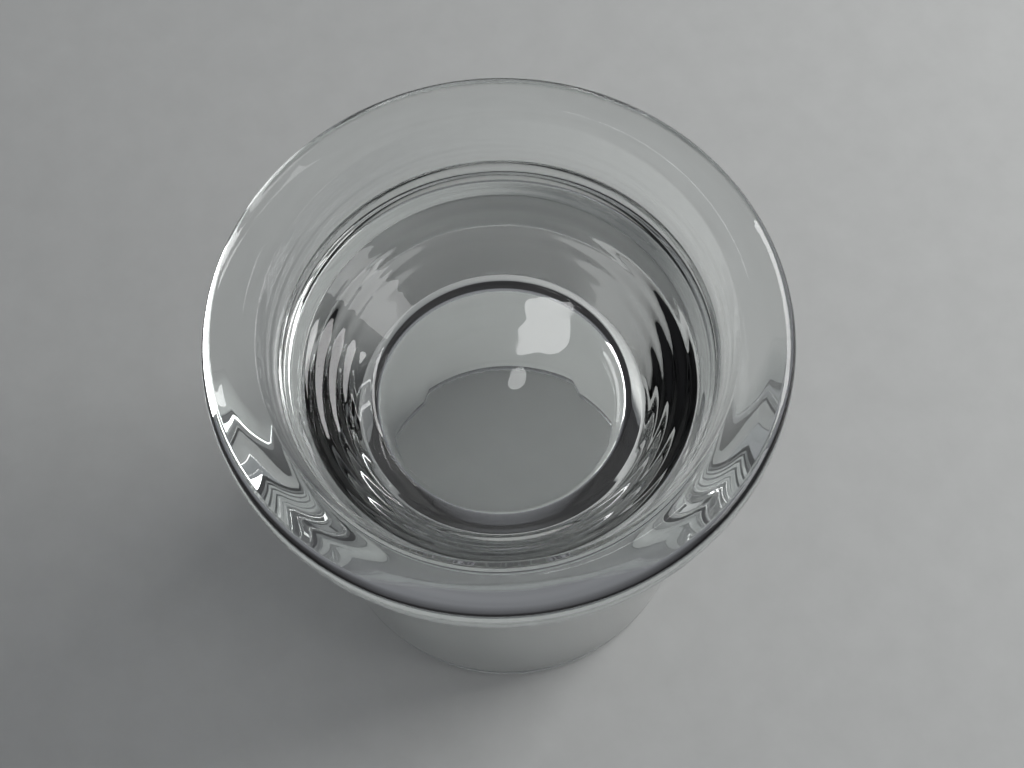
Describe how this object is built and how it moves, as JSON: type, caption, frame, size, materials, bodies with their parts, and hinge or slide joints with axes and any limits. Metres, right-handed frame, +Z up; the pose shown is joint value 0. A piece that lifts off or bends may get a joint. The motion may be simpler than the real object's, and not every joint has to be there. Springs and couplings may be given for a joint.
{
  "type": "glass cup",
  "caption": "Clear glass cup with a broad flared rim, a shallow open bowl that narrows to a flat round floor, and a tall hollow foot.",
  "frame": {"origin": "centre of the foot's ring, at the level that the cup stands on", "axes": "+Z up along the cup's axis, out of the mouth; +X and +Y are any two square directions because the cup is round"},
  "size_m": [0.07, 0.07, 0.0667],
  "materials": {
    "clear_glass": "polished clear soda-lime glass"
  },
  "bodies": {
    "root": {"glass_cup": "clear_glass"}
  },
  "joints": []
}
